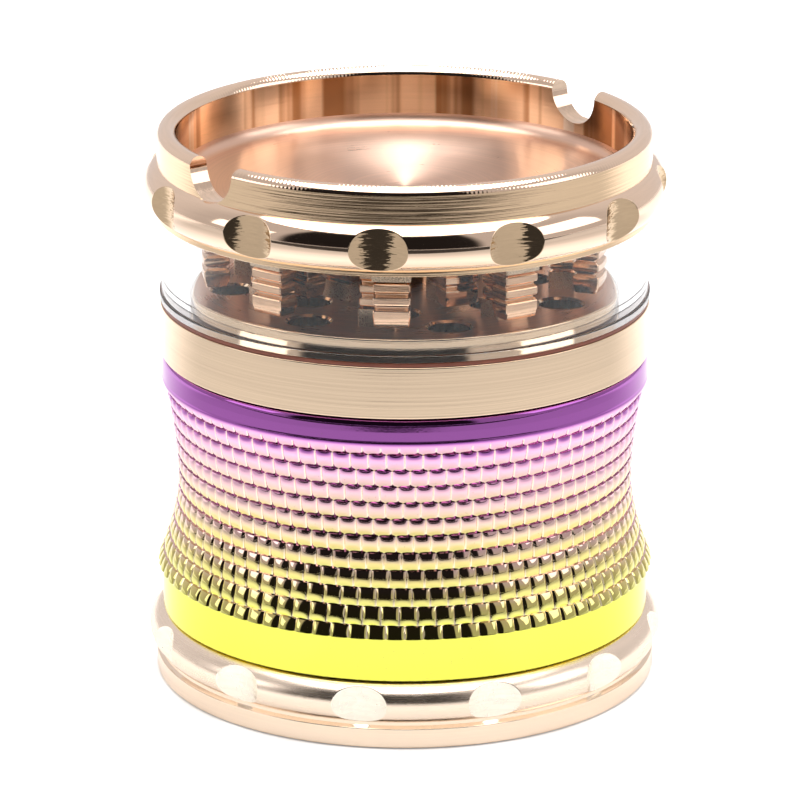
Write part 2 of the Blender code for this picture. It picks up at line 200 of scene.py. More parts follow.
class Skin:
    """Grids of points that are welded into one closed mesh, each grid with the name of its material."""

    def __init__(self, columns=COLUMNS, start=0.0):
        self.columns, self.start = columns, start
        self.points, self.faces, self.names = [], [], []
        self.count = 0

    def add(self, points):
        """Store points and return their numbers, in the same grid."""
        flat = points.reshape(-1, 3)
        first = self.count
        self.points.append(flat)
        self.count += len(flat)
        return np.arange(first, self.count).reshape(points.shape[:-1])

    def face(self, ids, material):
        self.faces.append([int(n) for n in ids])
        self.names.append(material)

    def quads(self, points, material):
        """Quads over points[row, column]; rows run down the outside, columns counter-clockwise."""
        ids = self.add(points)
        quads = np.stack([ids[:-1, :-1], ids[1:, :-1], ids[1:, 1:], ids[:-1, 1:]], axis=-1)
        self.faces += quads.reshape(-1, 4).tolist()
        self.names += [material] * ((ids.shape[0] - 1) * (ids.shape[1] - 1))

    def lathe(self, profile, material, columns=None):
        """Turn a profile of (radius, height) points about Z."""
        profile = np.array(supported(profile), float)
        azimuth = azimuths(columns or self.columns, self.start)[None, :]
        self.quads(polar(profile[:, :1], azimuth, profile[:, 1:]), material)

    def thin_out(self, fine_radius, coarse_radius, height, fine, outwards, material):
        """Flat ring with more points along one edge than the other."""
        share = fine // self.columns
        edge = self.add(polar(fine_radius, azimuths(fine), height))
        other = self.add(polar(coarse_radius, azimuths(self.columns), height))
        for i in range(self.columns):
            face = list(edge[i * share : (i + 1) * share + 1]) + [other[i + 1], other[i]]
            self.face(reversed(face) if outwards else face, material)

    def mesh(self, name, sharp=30.0):
        """Weld the grids and return the mesh."""
        mesh = bpy.data.meshes.new(name)
        mesh.from_pydata((np.concatenate(self.points) * MM).tolist(), [], self.faces)
        used = list(dict.fromkeys(self.names))
        mesh.polygons.foreach_set("material_index", [used.index(name) for name in self.names])
        for material in used:
            mesh.materials.append(MATERIALS[material])
        bm = bmesh.new()
        bm.from_mesh(mesh)
        bmesh.ops.remove_doubles(bm, verts=bm.verts, dist=0.002 * MM)
        bm.to_mesh(mesh)
        bm.free()
        return smoothed(mesh, sharp)


def add_object(name, data):
    obj = bpy.data.objects.new(name, data)
    bpy.context.scene.collection.objects.link(obj)
    return obj


def place(name, mesh, body, node, azimuth=0.0):
    """Show a mesh in place of one CAD node, riding on its body."""
    obj = add_object(name, mesh)
    obj.rotation_euler.z = math.radians(azimuth)
    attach(obj, body)
    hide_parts(node)


def exact_normals(mesh, names, rule):
    """Give faces of some materials the normals of the surface they were made from.

    rule(points, centres) gets each corner's place and its face's centre, in millimetres.
    """

    def read(owners, attribute, kind, width=1):
        values = np.zeros(len(owners) * width, kind)
        owners.foreach_get(attribute, values)
        return values

    vertex = read(mesh.loops, "vertex_index", np.int32)
    points = read(mesh.vertices, "co", float, 3).reshape(-1, 3)
    centres = read(mesh.polygons, "center", float, 3).reshape(-1, 3)
    owner = np.repeat(np.arange(len(centres)), read(mesh.polygons, "loop_total", np.int32))
    slots = [mesh.materials.find(MATERIALS[name].name) for name in names]
    chosen = np.isin(read(mesh.polygons, "material_index", np.int32)[owner], slots)
    corners = points[vertex[chosen]] / MM
    middles = centres[owner[chosen]] / MM
    normals = np.zeros((len(vertex), 3))
    found = rule(corners, middles)
    normals[chosen] = found / np.linalg.norm(found, axis=1, keepdims=True)
    mesh.normals_split_custom_set(normals.tolist())


def cylindrical(points, radial, around, upward):
    """Vectors from their parts along the radius, the azimuth and Z at some points."""
    azimuth = np.arctan2(points[:, 0], -points[:, 1])
    out = np.stack([np.sin(azimuth), -np.cos(azimuth), 0 * azimuth], axis=1)
    along = np.stack([np.cos(azimuth), np.sin(azimuth), 0 * azimuth], axis=1)
    up = np.array([0.0, 0.0, 1.0])
    return radial[:, None] * out + around[:, None] * along + upward[:, None] * up


# ---- scooped grips


def scoop_radius(offset):
    """Distance from the axis to the near side of a scoop's cutter, at an azimuth from its middle."""
    across = SCOOP_OFFSET * np.sin(offset)
    return SCOOP_OFFSET * np.cos(offset) - np.sqrt(np.maximum(SCOOP_CUTTER**2 - across**2, 0.0))


def tube_radius(grip, angle):
    return grip.radius - grip.tube + grip.tube * np.cos(angle)


def tube_share(tube, scoop):
    """1 on the grip's tube and 0 in the scoop, with a smooth step between them across EDGE."""
    return np.clip(0.5 + 0.5 * (scoop - tube) / EDGE, 0.0, 1.0)


def grip_points(grip, offset, angle):
    """Points on the scooped tube: the lesser of both radii, with the edge between them rounded."""
    tube = tube_radius(grip, angle)
    scoop = scoop_radius(offset)
    share = tube_share(tube, scoop)
    radius = scoop * (1 - share) + tube * share - EDGE * share * (1 - share)
    return radius, grip.height + grip.rise * np.sin(angle)


def scoop_ring(grip, rim, level):
    """Shrink a sector's rim towards its middle until the tube stands level above the scoop."""
    low, high = np.zeros(len(rim)), np.ones(len(rim))
    for _ in range(40):
        middle = (low + high) / 2
        above = tube_radius(grip, rim[:, 1] * middle) - scoop_radius(rim[:, 0] * middle) > level
        low = np.where(above, middle, low)
        high = np.where(above, high, middle)
    return rim * low[:, None]


def coons(ring, across, up):
    """Fill a closed ring of 2 * (across + up) points with a grid."""
    top = ring[: across + 1]
    right = ring[across : across + up + 1]
    bottom = ring[across + up : 2 * across + up + 1][::-1]
    left = np.vstack([ring[2 * across + up :], ring[:1]])[::-1]
    u = np.linspace(0, 1, across + 1)[None, :, None]
    v = np.linspace(0, 1, up + 1)[:, None, None]
    sides = (1 - v) * top[None] + v * bottom[None] + (1 - u) * left[:, None] + u * right[:, None]
    corners = (1 - v) * ((1 - u) * top[0] + u * top[-1]) + v * ((1 - u) * bottom[0] + u * bottom[-1])
    return sides - corners


def grip_arc(grip, start, end, count):
    """Profile points on a grip's half-round tube; angles in degrees above the outward direction."""
    return arc(grip.radius - grip.tube, grip.height, grip.tube, grip.rise, start, end, count)


def add_grip(skin, grip, tube_material, scoop_material):
    """Half-round grip with a scoop in each sector; the quads follow each scoop's edge."""
    half = math.pi / SCOOPS
    low, high = math.radians(grip.low), math.radians(grip.high)
    xs = np.linspace(-half, half, SECTOR_COLUMNS + 1)
    ys = np.linspace(high, low, SECTOR_ROWS + 1)
    rim = [(x, high) for x in xs[:-1]] + [(half, y) for y in ys[:-1]]
    rim += [(x, low) for x in xs[:0:-1]] + [(-half, y) for y in ys[:0:-1]]
    rim = np.array(rim)
    edge = [scoop_ring(grip, rim, level * EDGE) for level in (-1.0, -0.5, 0.0, 0.5, 1.0)]
    outside = [rim + (edge[0] - rim) * share for share in (0.0, 0.3, 0.55, 0.75, 0.9)]
    rings = np.array(outside + edge)
    rings = np.concatenate([rings, rings[:, :1]], axis=1)
    inside = coons(edge[-1], SECTOR_COLUMNS, SECTOR_ROWS)
    for i in range(SCOOPS):
        middle = math.radians(grip.scoop_start + 360.0 * i / SCOOPS)
        for grid, material in ((rings[:8], tube_material), (rings[7:], scoop_material), (inside, scoop_material)):
            radius, height = grip_points(grip, grid[..., 0], grid[..., 1])
            skin.quads(polar(radius, middle + grid[..., 0], height), material)


def grip_normals(grip):
    """Exact normals of a scooped grip."""

    def rule(points, _centres):
        azimuth = np.degrees(np.arctan2(points[:, 0], -points[:, 1])) - grip.scoop_start
        sector = 360.0 / SCOOPS
        offset = np.radians((azimuth + sector / 2) % sector - sector / 2)
        sine = np.clip((points[:, 2] - grip.height) / grip.rise, -1.0, 1.0)
        cosine = np.sqrt(1.0 - sine**2)
        angle = np.arcsin(sine)
        share = tube_share(tube_radius(grip, angle), scoop_radius(offset))
        radial = np.maximum(cosine / grip.tube, 1e-6)
        tube = cylindrical(points, np.ones(len(points)), 0 * radial, sine / grip.rise / radial)
        radius = np.hypot(points[:, 0], points[:, 1])
        to_cutter = SCOOP_OFFSET * np.cos(offset) - radius
        sideways = -SCOOP_OFFSET * np.sin(offset)
        scoop = cylindrical(points, np.ones(len(points)), sideways / np.maximum(to_cutter, 0.1), 0 * radial)
        return share[:, None] * tube + (1 - share[:, None]) * scoop

    return rule


# ---- threads


def thread_ridge(height, azimuth):
    """Thread form: 0 at the root and 1 at the crest."""
    turn = height / THREAD_LEAD - azimuth / (2 * math.pi)
    middle = np.abs(turn - np.floor(turn) - 0.5)
    return np.clip((THREAD_CREST + THREAD_FLANK - middle) / THREAD_FLANK, 0.0, 1.0)


def add_thread(skin, bottom, top, inside, material):
    """Helical thread between two heights, running out at both ends."""
    rows = round((top - bottom) / THREAD_STEP)
    azimuth = azimuths(skin.columns, skin.start)[None, :]
    ends = (bottom, top) if inside else (top, bottom)
    height = np.linspace(*ends, rows + 1)[:, None]
    run_out = np.clip(np.minimum(height - bottom, top - height) / (THREAD_LEAD / 4), 0.0, 1.0)
    ridge = thread_ridge(height, azimuth)
    depth = MALE_CREST - MALE_ROOT
    if inside:
        radius = MALE_ROOT + THREAD_CLEARANCE + depth * (1 - (1 - ridge) * run_out)
    else:
        radius = MALE_ROOT + depth * ridge * run_out
    skin.quads(polar(radius, azimuth, height), material)


# ---- knurl


def waist_radius(height):
    """Radius of the waist, which flares more below its narrowest height than above it."""
    narrowest, middle, bottom, flare_below, flare_above, power = 27.75, 24.5, 14.1, 2.4, 1.5, 1.75
    below = flare_below * np.maximum((middle - height) / (middle - bottom), 0) ** power
    above = flare_above * np.maximum((height - middle) / (KNURL_TOP - middle), 0) ** power
    return narrowest + below + above


def waist_slope(height):
    step = 0.01
    return (waist_radius(height + step) - waist_radius(height - step)) / (2 * step)


def knurl_across(azimuth, row, cell_azimuth):
    """Place across the cell that holds cell_azimuth in a row, from -1 to 1."""
    width = 2 * math.pi / KNURL_CELLS
    edge = row * KNURL_SHIFT * width
    cell = np.floor((cell_azimuth - edge) / width)
    away = (azimuth - cell_azimuth + math.pi) % (2 * math.pi) - math.pi
    return np.clip(2 * ((cell_azimuth + away - edge) / width - cell) - 1, -1, 1)


def knurl_height(across, along):
    """How far a cell stands above its lower edge; along runs from -1 down to 1."""
    reach = (along - KNURL_CREST) / (1 - KNURL_CREST)
    seam = np.clip((np.abs(across) - KNURL_SEAM) / (1 - KNURL_SEAM), 0, 1)
    dome = KNURL_DEPTH * (1 - KNURL_GROOVE * np.abs(across) ** KNURL_POWER) * (1 - reach**2)
    return dome - KNURL_SEAM_DEPTH * seam


def knurl_row_points(row, top, bottom, azimuth):
    """Grid over one row of cells, from its top share of ROW_PITCH down to its bottom share."""
    share = np.linspace(top, bottom, ROW_STEPS + 1)[:, None]
    height = FIRST_ROW - (row + share) * ROW_PITCH
    across = knurl_across(azimuth, row, azimuth)
    stand = knurl_height(across, 2 * share - 1)
    return polar(waist_radius(height) - KNURL_DEPTH + stand, azimuth, height)


def add_knurl(skin, azimuth, cells, ledges):
    """All rows of cells with the ledges between them; returns the first and last rings of points."""
    last = math.floor((FIRST_ROW - KNURL_BOTTOM) / ROW_PITCH)
    rings = []
    for row in range(-1, last + 1):
        top = max((FIRST_ROW - KNURL_TOP) / ROW_PITCH - row, LEDGE_SHARE)
        bottom = min((FIRST_ROW - KNURL_BOTTOM) / ROW_PITCH - row, 1.0)
        grid = knurl_row_points(row, top, bottom, azimuth)
        if rings:
            skin.quads(np.stack([rings[-1], grid[0]]), ledges)
        skin.quads(grid, cells)
        rings += [grid[0], grid[-1]]
    return rings[0], rings[-1]


def knurl_normals(points, centres):
    azimuth = np.arctan2(points[:, 0], -points[:, 1])
    face_azimuth = np.arctan2(centres[:, 0], -centres[:, 1])
    row = np.floor((FIRST_ROW - centres[:, 2]) / ROW_PITCH)
    across = knurl_across(azimuth, row, face_azimuth)
    along = np.clip(2 * ((FIRST_ROW - points[:, 2]) / ROW_PITCH - row) - 1, -1, 1)
    step = 0.001
    d_across = (knurl_height(across + step, along) - knurl_height(across - step, along)) / (2 * step)
    d_along = (knurl_height(across, along + step) - knurl_height(across, along - step)) / (2 * step)
    radius = np.hypot(points[:, 0], points[:, 1])
    by_azimuth = d_across * KNURL_CELLS / math.pi
    by_height = waist_slope(points[:, 2]) - d_along * 2 / ROW_PITCH
    return cylindrical(points, np.ones(len(points)), -by_azimuth / radius, -by_height)


# ---- materials


def scaled(colour, share):
    return tuple(c * share for c in colour)


class Graph:
    """The node tree of a new material, or of a world, built from short calls."""

    def __init__(self, name, world=None):
        owner = world or MATERIALS.setdefault(name, bpy.data.materials.new(name))
        owner.use_nodes = True
        self.tree = owner.node_tree
        self.tree.nodes.clear()

    def add(self, kind, inputs=None, **settings):
        node = self.tree.nodes.new("ShaderNode" + kind)
        for key, value in settings.items():
            setattr(node, key, value)
        for key, value in (inputs or {}).items():
            if isinstance(value, bpy.types.NodeSocket):
                self.tree.links.new(value, node.inputs[key])
            else:
                node.inputs[key].default_value = value
        return node

    def math(self, operation, first, second=0.0):
        return self.add("Math", {0: first, 1: second}, operation=operation).outputs[0]

    def vector(self, operation, *vectors, **inputs):
        return self.add("VectorMath", {**dict(enumerate(vectors)), **inputs}, operation=operation).outputs[0]

    def spot(self):
        """Object coordinates."""
        return self.add("TexCoord").outputs["Object"]

    def split(self, vector):
        return self.add("SeparateXYZ", {0: vector}).outputs

    def length(self, x, y):
        squares = self.math("ADD", self.math("POWER", x, 2.0), self.math("POWER", y, 2.0))
        return self.math("SQRT", squares)

    def normal(self):
        return self.add("NewGeometry").outputs["Normal"]

    def tangent(self):
        """Direction round the axis."""
        return self.add("Tangent", direction_type="RADIAL", axis="Z").outputs[0]

    def fit(self, value, low, high, to_low=0.0, to_high=1.0, smooth=False, clamp=True):
        kind = "SMOOTHSTEP" if smooth else "LINEAR"
        inputs = {"Value": value, "From Min": low, "From Max": high, "To Min": to_low, "To Max": to_high}
        return self.add("MapRange", inputs, interpolation_type=kind, clamp=clamp).outputs[0]

    def mix(self, share, first, second):
        first, second = ((*c, 1.0) if isinstance(c, tuple) else c for c in (first, second))
        return self.add("Mix", {0: share, 6: first, 7: second}, data_type="RGBA").outputs[2]

    def ramp(self, value, stops):
        node = self.add("ValToRGB", {0: value})
        elements = node.color_ramp.elements
        while len(elements) < len(stops):
            elements.new(0.5)
        for element, (at, colour) in zip(elements, stops):
            element.position = at
            element.color = (*colour, 1.0)
        return node.outputs[0]

    def turned_place(self):
        """Object coordinates, then their sine, cosine, height and radius: even round the axis, with no seam."""
        spot = self.spot()
        x, y, height = self.split(spot)
        radius = self.math("MAXIMUM", self.length(x, y), 0.0001)
        return spot, self.math("DIVIDE", x, radius), self.math("DIVIDE", y, radius), height, radius

    def turned_lines(self, turned, pitch, spread, detail=2.0):
        """Fine rings round the axis, about one pitch (mm) apart, that change slowly along the ring."""
        scale = 1.0 / (pitch * MM)
        scales = (spread, spread, scale, scale)
        *parts, w = (self.math("MULTIPLY", part, by) for part, by in zip(turned[1:], scales))
        vector = self.add("CombineXYZ", dict(enumerate(parts))).outputs[0]
        inputs = {"Vector": vector, "W": w, "Scale": 1.0, "Detail": detail}
        return self.add("TexNoise", inputs, noise_dimensions="4D").outputs[0]

    def noise(self, spot, size, detail=2.0, roughness=0.5):
        """Even noise with features about size (mm) across."""
        inputs = {"Vector": spot, "Scale": 1.0 / (size * MM), "Detail": detail, "Roughness": roughness}
        return self.add("TexNoise", inputs).outputs[0]

    def bump(self, height, depth):
        """Bump whose height of 1 stands depth (mm) proud."""
        inputs = {"Height": height, "Distance": depth * MM, "Strength": 1.0}
        return self.add("Bump", inputs).outputs[0]

    def principled(self, inputs):
        shader = self.add("BsdfPrincipled", inputs)
        self.add("OutputMaterial", {"Surface": shader.outputs[0]})

    def metal(self, colour, roughness, **inputs):
        self.principled({"Base Color": colour, "Metallic": 1.0, "Roughness": roughness, **inputs})


# Waves round the axis that a shaking tool leaves, per radian.
CHATTER_WAVES = 360.0


def metal(
    name, colour, roughness, anisotropy, pitch, depth,
    spread=6.0, uneven=0.03, tint=0.06, detail=2.0, painted_reflection_streaks=0.0, chatter=0.0,
):
    """Turned metal: rings of tool marks in height, roughness and colour, with smears between them.

    Lengths are in mm. painted_reflection_streaks darkens and lightens stripes along the axis, as painted reflections in
    dark brown and cream; chatter is the height of the waves round it.
    """
    graph = Graph(name)
    turned = graph.turned_place()
    spot, sine, cosine, *_ = turned
    lines = graph.turned_lines(turned, pitch, spread, detail)
    smears = graph.noise(spot, 5.0, 3.0)
    dark = scaled(colour, 1 - tint)
    light = tuple(min(c, 1.0) for c in scaled(colour, 1 + tint))
    shade = graph.mix(graph.fit(lines, 0.3, 0.7), dark, light)
    # Painted reflections: dark brown and cream stripes along the axis stand in for the surroundings mirrored in the
    # metal.
    if painted_reflection_streaks:
        around = graph.add("CombineXYZ", {0: sine, 1: cosine}).outputs[0]
        stripes = graph.add("TexNoise", {"Vector": around, "Scale": 5.0, "Detail": 3.0}).outputs[0]
        deep = graph.fit(stripes, 0.42, 0.5, painted_reflection_streaks, 0.0, smooth=True)
        shade = graph.mix(deep, shade, tuple(c * c * 0.45 for c in colour))
        pale = graph.fit(stripes, 0.57, 0.62, 0.0, painted_reflection_streaks, smooth=True)
        shade = graph.mix(pale, shade, (1.0, 0.93, 0.80))
    smeared = graph.fit(smears, 0.3, 0.7, roughness - uneven, roughness)
    rough = graph.math("ADD", smeared, graph.fit(lines, 0.35, 0.65, 0.0, uneven))
    turning = {"Anisotropic": anisotropy, "Anisotropic Rotation": 0.25, "Tangent": graph.tangent()}
    if chatter:
        azimuth = graph.math("ARCTAN2", sine, cosine)
        waves = graph.math("SINE", graph.math("MULTIPLY", azimuth, CHATTER_WAVES))
        shaken = graph.math("MULTIPLY", waves, graph.fit(smears, 0.35, 0.65))
        lines = graph.math("ADD", lines, graph.math("MULTIPLY", shaken, chatter / depth))
    graph.metal(shade, rough, Normal=graph.bump(lines, depth), **turning)


def scoop_metal(name, colour, roughness, pitch, sway):
    """Milled hollow: level feed marks that throw the reflections a little sideways."""
    graph = Graph(name)
    spot = graph.spot()
    marks = graph.noise(graph.vector("MULTIPLY", spot, (0.12, 0.12, 1.0)), pitch, 3.0, 0.7)
    tears = graph.noise(spot, 1.2)
    aside = graph.vector("SCALE", graph.tangent(), Scale=graph.fit(marks, 0.25, 0.75, -sway, sway))
    swayed = graph.vector("NORMALIZE", graph.vector("ADD", graph.normal(), aside))
    shade = graph.mix(graph.fit(marks, 0.35, 0.65), scaled(colour, 0.9), colour)
    graph.metal(shade, graph.fit(tears, 0.3, 0.7, roughness * 0.6, roughness * 1.3), Normal=swayed)


def grit_metal(name, colour, roughness, size, depth):
    """Blasted metal that glitters: coarse even grain in height and colour."""
    graph = Graph(name)
    grain = graph.noise(graph.spot(), size, 3.0, 0.6)
    shade = graph.mix(graph.fit(grain, 0.35, 0.65), scaled(colour, 0.8), colour)
    rough = graph.fit(grain, 0.35, 0.65, roughness * 0.7, roughness * 1.2)
    graph.metal(shade, rough, Normal=graph.bump(grain, depth))


# The coat's colours by height (mm).
COAT_STOPS = (
    (8.0, (0.82, 0.82, 0.11)),
    (13.8, (0.80, 0.80, 0.12)),
    (15.6, (0.70, 0.68, 0.20)),
    (18.5, (0.72, 0.66, 0.22)),
    (21.8, (0.75, 0.62, 0.26)),
    (23.2, (0.78, 0.62, 0.37)),
    (25.0, (0.79, 0.59, 0.46)),
    (27.0, (0.78, 0.54, 0.50)),
    (30.0, (0.82, 0.52, 0.60)),
    (32.0, (0.88, 0.50, 0.68)),
    (34.0, (0.84, 0.44, 0.69)),
    (35.6, (0.54, 0.21, 0.56)),
    (37.0, (0.41, 0.13, 0.47)),
)
# Painted sheen: the colours move up the ramp on faces that look up and down it on faces that look down, standing in for
# the coat's colour changing with the angle it is seen at. COAT_TILT is how far up the colours move for a face that
# looks straight up.
COAT_TILT = 12.0


def painted_knurl_highlights(graph, x, y, height):
    """Where cream painted highlights go: on the seams between the knurl's cells and along each row's lower edge."""
    azimuth = graph.math("ARCTAN2", x, graph.math("MULTIPLY", y, -1.0))
    rows = graph.fit(height, FIRST_ROW * MM, (FIRST_ROW - ROW_PITCH) * MM, clamp=False)
    row = graph.math("FLOOR", rows)
    cells = graph.math("MULTIPLY", azimuth, KNURL_CELLS / (2 * math.pi))
    turn = graph.math("SUBTRACT", cells, graph.math("MULTIPLY", row, KNURL_SHIFT))
    across = graph.math("ABSOLUTE", graph.math("SUBTRACT", graph.math("FRACT", turn), 0.5))
    seam = graph.fit(across, 0.42, 0.47, 0.0, 0.75, smooth=True)
    along = graph.math("SUBTRACT", rows, row)
    lip = graph.fit(along, 0.93, 0.98, 0.0, 0.4, smooth=True)
    return graph.math("MAXIMUM", seam, lip)


def coat_metal(name, roughness, knurled=False):
    """Mirror coat whose colour runs from yellow below to purple above, with specks in it."""
    graph = Graph(name)
    spot = graph.spot()
    x, y, height = graph.split(spot)
    clouds = graph.noise(spot, 4.0)
    wander = graph.fit(clouds, 0.3, 0.7, -0.12 * MM, 0.12 * MM)
    low, high = COAT_STOPS[0][0], COAT_STOPS[-1][0]
    # Painted sheen: the colours shift with the way a face looks.
    tilt = graph.math("MULTIPLY", graph.split(graph.normal())[2], COAT_TILT * MM)
    level = graph.math("ADD", graph.math("ADD", height, wander), tilt)
    share = graph.fit(level, low * MM, high * MM)
    coat = graph.ramp(share, [((at - low) / (high - low), colour) for at, colour in COAT_STOPS])
    specks = graph.add("TexVoronoi", {"Vector": spot, "Scale": 1.0 / (0.8 * MM)}).outputs["Distance"]
    pits = graph.fit(specks, 0.05, 0.09, 1.0, 0.0)
    colour = graph.mix(graph.math("MULTIPLY", pits, 0.5), coat, (0.25, 0.2, 0.1))
    if knurled:
        # Painted highlights: cream lines on the seams between the knurl's cells and along each row's lower edge.
        colour = graph.mix(painted_knurl_highlights(graph, x, y, height), colour, (1.0, 0.86, 0.66))
    rough = graph.fit(clouds, 0.3, 0.7, roughness * 0.8, roughness * 1.2)
    graph.metal(colour, rough, Normal=graph.bump(graph.noise(spot, 0.25), 0.0015))


def clear_plastic(name):
    """Clear acrylic with the faintest turning marks and a trace of tint."""
    graph = Graph(name)
    turned = graph.turned_place()
    lines = graph.turned_lines(turned, 0.2, 3.0)
    haze = graph.noise(turned[0], 3.0, 3.0)
    inputs = {
        "Base Color": graph.mix(haze, (0.985, 0.985, 0.98), (1.0, 1.0, 1.0)),
        "Roughness": graph.fit(haze, 0.3, 0.7, 0.0, 0.008),
        "IOR": 1.49,
        "Transmission Weight": 1.0,
        "Normal": graph.bump(lines, 0.0001),
    }
    graph.principled(inputs)


def soft_plastic(name, dark, light, roughness, size, depth):
    """Rubber or nylon: fine grain in colour, roughness and height."""
    graph = Graph(name)
    spot = graph.spot()
    grain = graph.noise(spot, size, 3.0)
    blotches = graph.noise(spot, size * 12)
    inputs = {
        "Base Color": graph.mix(blotches, dark, light),
        "Roughness": graph.fit(grain, 0.3, 0.7, roughness * 0.85, roughness * 1.15),
        "Normal": graph.bump(grain, depth),
    }
    graph.principled(inputs)


def make_materials():
    rose = (0.93, 0.71, 0.54)
    pale = (0.90, 0.70, 0.50)
    metal("rose_polished", rose, 0.07, 0.0, 0.3, 0.0006, uneven=0.02, tint=0.02)
    metal("rose_satin", (0.97, 0.81, 0.66), 0.26, 0.0, 0.25, 0.012, spread=1.0, uneven=0.04, tint=0.03)
    metal("rose_foot", (0.95, 0.78, 0.62), 0.14, 0.0, 0.25, 0.004, spread=1.0, uneven=0.04, tint=0.03)
    metal("rose_rim", (0.90, 0.66, 0.43), 0.09, 0.0, 0.25, 0.04, spread=0.8, uneven=0.03, detail=3.0)
    metal("rose_crown", rose, 0.06, 0.0, 0.4, 0.002, uneven=0.02, tint=0.03, chatter=0.008)
    metal("rose_wall", (0.96, 0.70, 0.48), 0.14, 0.0, 0.3, 0.008, spread=0.8, uneven=0.04, painted_reflection_streaks=1.0)
    metal("rose_dish", (0.86, 0.60, 0.47), 0.3, 0.85, 0.25, 0.002, spread=0.8, uneven=0.03)
    metal("rose_underside", (0.86, 0.60, 0.43), 0.3, 0.5, 0.15, 0.002, uneven=0.06)
    metal("rose_thread", rose, 0.2, 0.0, 0.3, 0.001)
    scoop_metal("lid_scoop", (0.72, 0.53, 0.34), 0.05, 0.2, 0.2)
    scoop_metal("base_scoop", (0.99, 0.92, 0.80), 0.25, 0.5, 0.05)
    grit_metal("rose_collar", (0.88, 0.70, 0.52), 0.3, 0.12, 0.03)
    metal("rose_rest", rose, 0.08, 0.0, 0.4, 0.001)
    metal("champagne_band", pale, 0.1, 0.0, 0.22, 0.012, spread=0.8, uneven=0.03, tint=0.05)
    # Painted shade: the chamber floor is darker and browner than the band and boss of the same plate, standing in for
    # the shade inside the chamber.
    metal("champagne_floor_painted_shade", (0.68, 0.40, 0.27), 0.3, 0.0, 0.25, 0.001, uneven=0.05, tint=0.12)
    metal("champagne_boss", pale, 0.08, 0.0, 0.2, 0.003)
    metal("rose_tooth", (0.84, 0.57, 0.39), 0.1, 0.0, 0.2, 0.006, uneven=0.05, tint=0.15)
    coat_metal("gradient_coat", 0.06)
    coat_metal("gradient_coat_knurled", 0.06, knurled=True)
    metal("coat_bore", (0.80, 0.78, 0.74), 0.3, 0.5, 0.2, 0.003)
    clear_plastic("clear_acrylic")
    soft_plastic("seal_rubber", (0.05, 0.02, 0.015), (0.09, 0.03, 0.02), 0.5, 0.2, 0.003)
    soft_plastic("gasket_rubber", (0.16, 0.04, 0.02), (0.26, 0.07, 0.035), 0.4, 0.2, 0.002)
    soft_plastic("glide_nylon", (0.70, 0.68, 0.62), (0.80, 0.78, 0.73), 0.4, 0.3, 0.002)
    metal("screen_steel", (0.62, 0.62, 0.60), 0.25, 0.0, 0.3, 0.001)
    metal("magnet_nickel", (0.72, 0.71, 0.68), 0.15, 0.0, 0.4, 0.001)


make_materials()


# ---- catcher cup


def make_catcher_cup():
    cup_radius, cup_floor, cup_fillet = 25.0, 2.6, 2.0
    foot_radius, foot_height, foot_edge, foot_break = 30.6, 2.5, 0.35, 0.12
    recess_radius, recess_depth = 25.6, 0.6
    thread_top, thread_bottom = CUP.top - 0.3, BASE_SHOULDER + 0.5
    start = BASE_GRIP.scoop_start - 180.0 / SCOOPS
    grip, scoop, thread = "rose_satin", "base_scoop", "rose_thread"
    skin = Skin(start=start)
    floor = [(r, cup_floor) for r in (0.0, 2.0, 8.0, 16.0)]
    floor += arc(cup_radius - cup_fillet, cup_floor + cup_fillet, cup_fillet, cup_fillet, -90, 0, 12)
    floor += [(cup_radius, CUP.top - 0.25), (cup_radius + 0.25, CUP.top), (MALE_ROOT - 0.3, CUP.top)]
    floor += [(MALE_ROOT, thread_top)]
    skin.lathe(floor, "rose_wall")
    add_thread(skin, thread_bottom, thread_top, False, thread)
    centre = BASE_GRIP.radius - BASE_GRIP.tube
    shoulder = [(MALE_ROOT, thread_bottom), (MALE_ROOT, BASE_SHOULDER), (centre, BASE_SHOULDER)]
    skin.lathe(shoulder, thread)
    skin.lathe(grip_arc(BASE_GRIP, 90, BASE_GRIP.high, 14), grip)
    add_grip(skin, BASE_GRIP, grip, scoop)
    neck = grip_arc(BASE_GRIP, BASE_GRIP.low, BASE_GRIP.low, 0)[0]
    ring = [neck, (neck[0], foot_height + 0.28)]
    ring += corner(foot_radius, foot_height, foot_break, 90, 4) + corner(foot_radius, 0.0, foot_edge, 0)
    ring += [(recess_radius + recess_depth, 0.0), (recess_radius, recess_depth)]
    ring += [(r, recess_depth) for r in (20.0, 10.0, 2.0, 0.0)]
    skin.lathe(ring, "rose_foot")
    mesh = skin.mesh("catcher_cup_turned")
    exact_normals(mesh, (grip, scoop), grip_normals(BASE_GRIP))
    place("catcher_cup_turned", mesh, "base", "catcher_cup")


# ---- storage section


